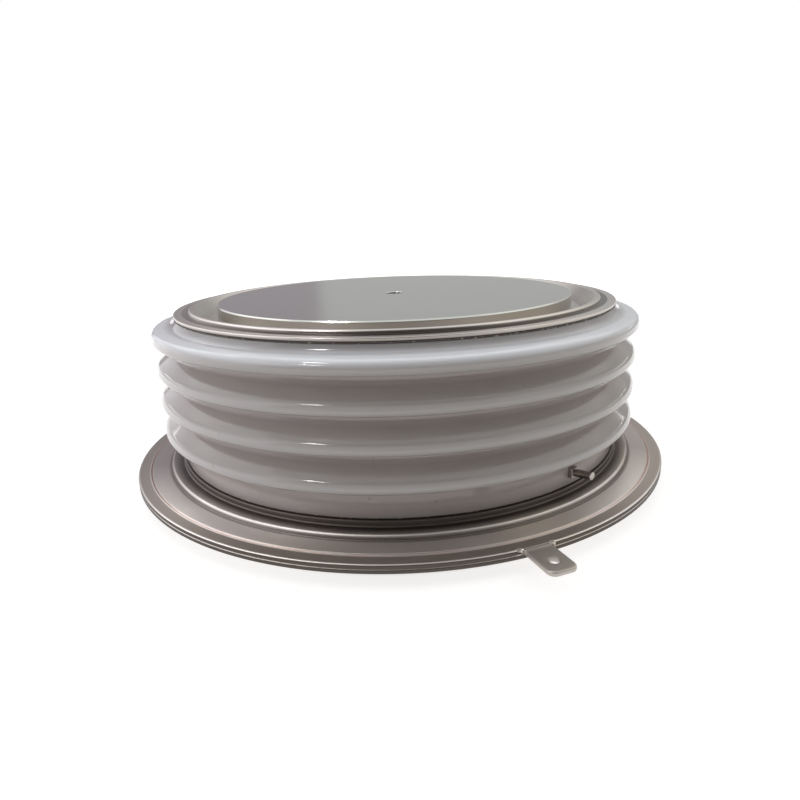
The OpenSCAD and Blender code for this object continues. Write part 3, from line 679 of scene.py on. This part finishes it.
# only the face is lapped: the turned side has dulled
flat = add(tree, "ShaderNodeVectorMath", {0: place, 1: (1, 1, 0)}, operation="MULTIPLY")
radius = add(tree, "ShaderNodeVectorMath", {0: flat.outputs["Vector"]}, operation="LENGTH")
side = add(tree, "ShaderNodeMapRange", {
    "Value": radius.outputs["Value"],
    "From Min": (CONTACT_R - 0.1) * MM, "From Max": (CONTACT_R - 0.02) * MM})
pole_tone = add(tree, "ShaderNodeMix", {
    "Factor": side.outputs[0], 6: face.outputs[2], 7: linear("#9f9a92")}, data_type="RGBA")
tree.links.new(pole_tone.outputs[2], shader.inputs["Base Color"])
# lapping leaves marks a few hundredths of a millimetre wide, drawn at 0.5 mm so that they show
lapping = add(tree, "ShaderNodeTexNoise", {"Vector": place, "Scale": 1 / (0.5 * MM), "Detail": 5.0})
face_gloss = add(tree, "ShaderNodeMapRange", {
    "Value": lapping.outputs["Fac"], "To Min": 0.15, "To Max": 0.22})
tree.links.new(face_gloss.outputs[0], shader.inputs["Roughness"])
face_bump = add(tree, "ShaderNodeBump", {
    "Height": lapping.outputs["Fac"], "Strength": 0.03, "Distance": 0.01 * MM})
tree.links.new(face_bump.outputs[0], shader.inputs["Normal"])

flange_under = PACKAGE_H - TROUGH - ANODE_SHEET
hole_floor = PACKAGE_H - DOWEL_DEPTH
anode_pole = new_piece("anode_pole_turned", turned("anode_pole_turned", rounded([
    (0, POLE_FOOT, 0), (POLE_R - 0.5, POLE_FOOT, 0), (POLE_R, POLE_FOOT + 0.5, 0),
    (POLE_R, flange_under, 0), (CONTACT_R, flange_under, 0), (CONTACT_R, PACKAGE_H - EDGE_BREAK, 0.1),
    (CONTACT_R - EDGE_BREAK, PACKAGE_H, 0.1), (20.0, PACKAGE_H, 0), (DOWEL_R + 0.12, PACKAGE_H, 0.04),
    (DOWEL_R, PACKAGE_H - 0.12, 0.04), (DOWEL_R, hole_floor, 0), (0, hole_floor, 0)])), nickel_contact)
even_normals(anode_pole)
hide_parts("anode_pole_piece")
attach(anode_pole, "root")


# Inside, sealed for good: the silicon wafer on its molybdenum disc with a rubber bead round its edge,
# a second disc and a silver shim on the cathode side, all centred in the bore by a PTFE ring.
def dress(node, material):
    """Gives a CAD node that stays as it is the finish of its real material."""
    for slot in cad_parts[node].material_slots:
        slot.material = material


# Ground molybdenum: a cool mid grey with fine straight grinding lines.
ground_molybdenum, tree, shader = new_material("ground_molybdenum", Metallic=1.0)
place = add(tree, "ShaderNodeTexCoord").outputs["Object"]
# grinding lines about 0.05 mm apart, drawn at 0.6 mm and stretched 12 times
stretch = add(tree, "ShaderNodeMapping", {
    "Vector": place, "Scale": (1 / (0.6 * MM), 1 / (7 * MM), 1 / (0.6 * MM))})
lines = add(tree, "ShaderNodeTexNoise", {"Vector": stretch.outputs[0], "Scale": 1.0, "Detail": 3.0})
ground = add(tree, "ShaderNodeMix", {
    "Factor": lines.outputs["Fac"], 6: linear("#80838a"), 7: linear("#a3a6ac")}, data_type="RGBA")
tree.links.new(ground.outputs[2], shader.inputs["Base Color"])
ground_gloss = add(tree, "ShaderNodeMapRange", {
    "Value": lines.outputs["Fac"], "To Min": 0.3, "To Max": 0.5})
tree.links.new(ground_gloss.outputs[0], shader.inputs["Roughness"])
dress("anode_molybdenum_disc", ground_molybdenum)
dress("cathode_molybdenum_disc", ground_molybdenum)

# Polished silicon: a dark blue-grey mirror, faintly clouded over about 9 mm.
polished_silicon, tree, shader = new_material("polished_silicon", Metallic=0.6, Roughness=0.12)
place = add(tree, "ShaderNodeTexCoord").outputs["Object"]
haze = add(tree, "ShaderNodeTexNoise", {"Vector": place, "Scale": 1 / (9 * MM), "Detail": 2.0})
wafer_tone = add(tree, "ShaderNodeMix", {
    "Factor": haze.outputs["Fac"], 6: linear("#4c505a"), 7: linear("#6a6f7d")}, data_type="RGBA")
tree.links.new(wafer_tone.outputs[2], shader.inputs["Base Color"])
dress("silicon_wafer", polished_silicon)

# Cast silicone rubber: milky and soft, clouded in patches of about 4 mm.
cast_silicone, tree, shader = new_material("cast_silicone_rubber", Roughness=0.55, Subsurface_Weight=0.1)
place = add(tree, "ShaderNodeTexCoord").outputs["Object"]
milk = add(tree, "ShaderNodeTexNoise", {"Vector": place, "Scale": 1 / (4 * MM), "Detail": 3.0})
seal_tone = add(tree, "ShaderNodeMix", {
    "Factor": milk.outputs["Fac"], 6: linear("#d8d3cd"), 7: linear("#efece8")}, data_type="RGBA")
tree.links.new(seal_tone.outputs[2], shader.inputs["Base Color"])
dress("wafer_edge_seal", cast_silicone)

# Annealed silver: near white, with a soft sheen that varies over about 1.5 mm.
annealed_silver, tree, shader = new_material("annealed_silver", Metallic=1.0)
place = add(tree, "ShaderNodeTexCoord").outputs["Object"]
peel = add(tree, "ShaderNodeTexNoise", {"Vector": place, "Scale": 1 / (1.5 * MM), "Detail": 3.0})
silver_tone = add(tree, "ShaderNodeMix", {
    "Factor": peel.outputs["Fac"], 6: linear("#cfccc6"), 7: linear("#efede8")}, data_type="RGBA")
tree.links.new(silver_tone.outputs[2], shader.inputs["Base Color"])
silver_gloss = add(tree, "ShaderNodeMapRange", {
    "Value": peel.outputs["Fac"], "To Min": 0.22, "To Max": 0.4})
tree.links.new(silver_gloss.outputs[0], shader.inputs["Roughness"])
dress("cathode_silver_shim", annealed_silver)

# Turned PTFE: waxy white, slightly mottled over about 3 mm.
turned_ptfe, tree, shader = new_material("turned_ptfe", Roughness=0.42, Subsurface_Weight=0.08)
place = add(tree, "ShaderNodeTexCoord").outputs["Object"]
mottle = add(tree, "ShaderNodeTexNoise", {"Vector": place, "Scale": 1 / (3 * MM), "Detail": 4.0})
ptfe_tone = add(tree, "ShaderNodeMix", {
    "Factor": mottle.outputs["Fac"], 6: linear("#e2e0db"), 7: linear("#f4f3ef")}, data_type="RGBA")
tree.links.new(ptfe_tone.outputs[2], shader.inputs["Base Color"])
dress("locating_ring", turned_ptfe)


# The gate contact sits in a bore of the cathode pole piece: a silver pin on a coil spring in a PTFE cup,
# with a sleeved silver lead that runs out through a slot to the gate tube.

# Oil-tempered spring wire: mid grey, with paler and duller patches about 0.6 mm across.
spring_wire, tree, shader = new_material("tempered_spring_wire", Metallic=1.0)
place = add(tree, "ShaderNodeTexCoord").outputs["Object"]
patches = add(tree, "ShaderNodeTexNoise", {"Vector": place, "Scale": 1 / (0.6 * MM), "Detail": 3.0})
wire_tone = add(tree, "ShaderNodeMix", {
    "Factor": patches.outputs["Fac"], 6: linear("#77787a"), 7: linear("#a6a7a8")}, data_type="RGBA")
tree.links.new(wire_tone.outputs[2], shader.inputs["Base Color"])
wire_gloss = add(tree, "ShaderNodeMapRange", {
    "Value": patches.outputs["Fac"], "To Min": 0.25, "To Max": 0.45})
tree.links.new(wire_gloss.outputs[0], shader.inputs["Roughness"])
dress("gate_spring", spring_wire)
for node in ("gate_lead_wire", "gate_contact_pin"):
    dress(node, annealed_silver)
for node in ("gate_lead_sleeve", "gate_guide_bush", "gate_insulator_cup"):
    dress(node, turned_ptfe)


# The cathode pole piece closes the housing from below: copper, nickel plated, the twin of the anode's.
# Its flange, folded like the anode's, is cold welded to the housing flange all round the rim.
COVER_Z, COVER_RIM_Z, COVER_SHEET = 2.1, 2.3, 1.0
dress("cathode_pole_piece", nickel_contact)
cover_outline = diaphragm([
    (RIM_R, SEAM_Z, 0.25), (RIM_R, COVER_RIM_Z, 0.25), (53.4, COVER_RIM_Z, 0.1), (53.1, COVER_Z, 0.1)],
    COVER_Z, COVER_SHEET)
cover_flange = new_piece("cover_flange_folded", turned("cover_flange_folded", cover_outline), nickel_sheet)
even_normals(cover_flange)
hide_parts("cover_weld_flange")
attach(cover_flange, "root")


# The studio: a wide white floor under the device, a soft box overhead behind it, a wide one at the left and
# a weak one at the right, in a surround that is bright behind the device and dim on the camera's side.
CAMERA_TURN, CAMERA_BACK, CAMERA_HEIGHT = math.radians(-21), 132.73 * MM, 51.76 * MM
FLOOR_R, AIM_Z, TUBE_AREA = 6.0, 0.02, 0.005

# A matt sheet that glows white to the camera and in reflections, over the device's real shadow; the glow is
# weaker near the device, a painted shade.
white_floor, tree, shader = new_material("white_floor_sheet", Roughness=0.9)
shader.inputs["Base Color"].default_value = linear("#b4b2b0")
shader.inputs["Specular IOR Level"].default_value = 0.0
rays = add(tree, "ShaderNodeLightPath")
seen = add(tree, "ShaderNodeMath", {
    0: rays.outputs["Is Camera Ray"], 1: rays.outputs["Is Glossy Ray"]}, operation="MAXIMUM")
seen_through = add(tree, "ShaderNodeMath", {
    0: seen.outputs[0], 1: rays.outputs["Is Transmission Ray"]}, operation="MAXIMUM")
# painted shade: the glow is off under the device and grows from the rim out to 200 mm, where the sheet is
# plain white
place = add(tree, "ShaderNodeTexCoord").outputs["Object"]
out_to = add(tree, "ShaderNodeVectorMath", {0: place}, operation="LENGTH")
uncovered = add(tree, "ShaderNodeMapRange", {
    "Value": out_to.outputs["Value"], "From Min": 46 * MM, "From Max": 53 * MM,
    "To Min": 0.0, "To Max": 0.74})
open_floor = add(tree, "ShaderNodeMapRange", {
    "Value": out_to.outputs["Value"], "From Min": 53 * MM, "From Max": 200 * MM,
    "To Min": 0.0, "To Max": 0.26})
white = add(tree, "ShaderNodeMath", {0: uncovered.outputs[0], 1: open_floor.outputs[0]}, operation="ADD")
lift = add(tree, "ShaderNodeMath", {0: seen_through.outputs[0], 1: white.outputs[0]}, operation="MULTIPLY")
shader.inputs["Emission Color"].default_value = (1, 1, 1, 1)
tree.links.new(lift.outputs[0], shader.inputs["Emission Strength"])
floor_mesh = bpy.data.meshes.new("floor")
sheet = bmesh.new()
bmesh.ops.create_circle(sheet, cap_ends=True, segments=96, radius=FLOOR_R)
sheet.to_mesh(floor_mesh)
sheet.free()
floor_mesh.materials.append(white_floor)
floor = bpy.data.objects.new("floor", floor_mesh)
bpy.context.scene.collection.objects.link(floor)

# the surround is dim towards the camera and twice as bright from about 25 degrees up
camera_side = Vector((math.sin(CAMERA_TURN), -math.cos(CAMERA_TURN), 0))
world = bpy.data.worlds.new("surround")
bpy.context.scene.world = world
world.use_nodes = True
tree = world.node_tree
tree.nodes.clear()
outward = add(tree, "ShaderNodeTexCoord").outputs["Generated"]
DIM_RISE, WALL_TURN = math.radians(18), math.radians(6.6)
to_camera = camera_side * math.cos(DIM_RISE) + Vector((0, 0, math.sin(DIM_RISE)))
facing = add(tree, "ShaderNodeVectorMath", {0: outward, 1: tuple(to_camera)}, operation="DOT_PRODUCT")
room_light = add(tree, "ShaderNodeMapRange", {
    "Value": facing.outputs["Value"], "From Min": 0.4, "From Max": 0.92, "To Min": 0.49, "To Max": 0.05},
    interpolation_type="SMOOTHSTEP")
upward = add(tree, "ShaderNodeSeparateXYZ", {0: outward})
higher = add(tree, "ShaderNodeMapRange", {
    "Value": upward.outputs["Z"], "From Min": 0.35, "From Max": 0.48, "To Min": 1.0, "To Max": 2.0},
    interpolation_type="SMOOTHSTEP")
around = add(tree, "ShaderNodeMath", {0: room_light.outputs[0], 1: higher.outputs[0]}, operation="MULTIPLY")
# a low mauve wall stands behind to the left, from 6.6 degrees left of the camera's line
camera_left = Vector((camera_side.y, -camera_side.x, 0))
wall_edge = camera_left * math.cos(WALL_TURN) + camera_side * math.sin(WALL_TURN)
leftness = add(tree, "ShaderNodeVectorMath", {0: outward, 1: tuple(wall_edge)}, operation="DOT_PRODUCT")
wall_side = add(tree, "ShaderNodeMapRange", {
    "Value": leftness.outputs["Value"], "From Min": -0.008, "From Max": 0.018},
    interpolation_type="SMOOTHSTEP")
wall_top = add(tree, "ShaderNodeMapRange", {
    "Value": upward.outputs["Z"], "From Min": 0.34, "From Max": 0.46, "To Min": 1.0, "To Max": 0.0})
wall = add(tree, "ShaderNodeMath", {0: wall_side.outputs[0], 1: wall_top.outputs[0]}, operation="MULTIPLY")
wall_colour = add(tree, "ShaderNodeMix", {
    "Factor": wall.outputs[0], 6: (0.99, 1, 0.99, 1), 7: (0.72, 0.66, 0.71, 1)}, data_type="RGBA")
# only the camera sees plain white behind the device
rays = add(tree, "ShaderNodeLightPath")
room = add(tree, "ShaderNodeBackground", {"Color": wall_colour.outputs[2], "Strength": around.outputs[0]})
paper = add(tree, "ShaderNodeBackground", {"Color": (1, 1, 1, 1), "Strength": 1.0})
backdrop = add(tree, "ShaderNodeMixShader", {
    0: rays.outputs["Is Camera Ray"], 1: room.outputs[0], 2: paper.outputs[0]})
add(tree, "ShaderNodeOutputWorld", {"Surface": backdrop.outputs[0]})


def lamp(name, azimuth, elevation, distance, size, power, colour="#ffffff", height=None):
    """A soft box that faces the device, placed by its angle from the camera's side."""
    light = bpy.data.lights.new(name, "AREA")
    light.shape = "RECTANGLE"
    light.size = size
    light.size_y = height or size
    light.energy = power
    light.color = linear(colour)[:3]
    made = bpy.data.objects.new(name, light)
    bpy.context.scene.collection.objects.link(made)
    turn, rise = CAMERA_TURN + math.radians(azimuth), math.radians(elevation)
    along = math.cos(rise)
    spot = distance * Vector((math.sin(turn) * along, -math.cos(turn) * along, math.sin(rise)))
    aim = spot.to_track_quat("Z", "Y").to_matrix().to_4x4()
    made.matrix_world = Matrix.Translation(spot + Vector((0, 0, AIM_Z))) @ aim
    return made


lamp("overhead_box", 180, 66, distance=0.6, size=0.5, power=0.4, colour="#eaf0ff")
lamp("left_box", -100, 21, distance=0.6, size=1.1, height=0.7, power=2.08, colour="#fafbff")
lamp("right_box", 120, 35, distance=0.6, size=0.6, power=0.24, colour="#fff6ea")
# thin tubes only show as reflections: the streaks on the ribs and on the edge of the contact face
for name, azimuth, elevation, length, power in (
        ("near_tube", -45, 43.5, 0.1, 0.45), ("far_tube", -74, 66, 0.1, 0.5),
        ("left_tube", -118, 10, 0.3, 0.05), ("right_tube", 118, 10, 0.3, 0.05)):
    tube_lamp = lamp(name, azimuth, elevation, 0.7, length, power, height=TUBE_AREA / length)
    tube_lamp.visible_diffuse = False

# The camera stands 21 degrees to the left of the tab, 133 mm from the axis and 16 mm above the device.
yaw, pitch, roll = math.radians(0.198), math.radians(16.797), math.radians(-1.969)
ahead = Vector((math.sin(yaw) * math.cos(pitch), math.cos(yaw) * math.cos(pitch), -math.sin(pitch)))
across = Vector((math.cos(yaw), -math.sin(yaw), 0))
level_up = across.cross(ahead)
lens_across = across * math.cos(roll) + level_up * math.sin(roll)
lens_up = level_up * math.cos(roll) - across * math.sin(roll)
hold = Matrix((lens_across, lens_up, -ahead)).transposed().to_4x4()
hold.translation = Vector((0, -CAMERA_BACK, CAMERA_HEIGHT))
lens = bpy.data.cameras.new("camera")
lens.lens, lens.sensor_width, lens.clip_start = 27.39, 36.0, 0.005
camera = bpy.data.objects.new("camera", lens)
bpy.context.scene.collection.objects.link(camera)
camera.matrix_world = Matrix.Rotation(CAMERA_TURN, 4, "Z") @ hold
bpy.context.scene.camera = camera
bpy.context.scene.view_settings.view_transform = "Standard"
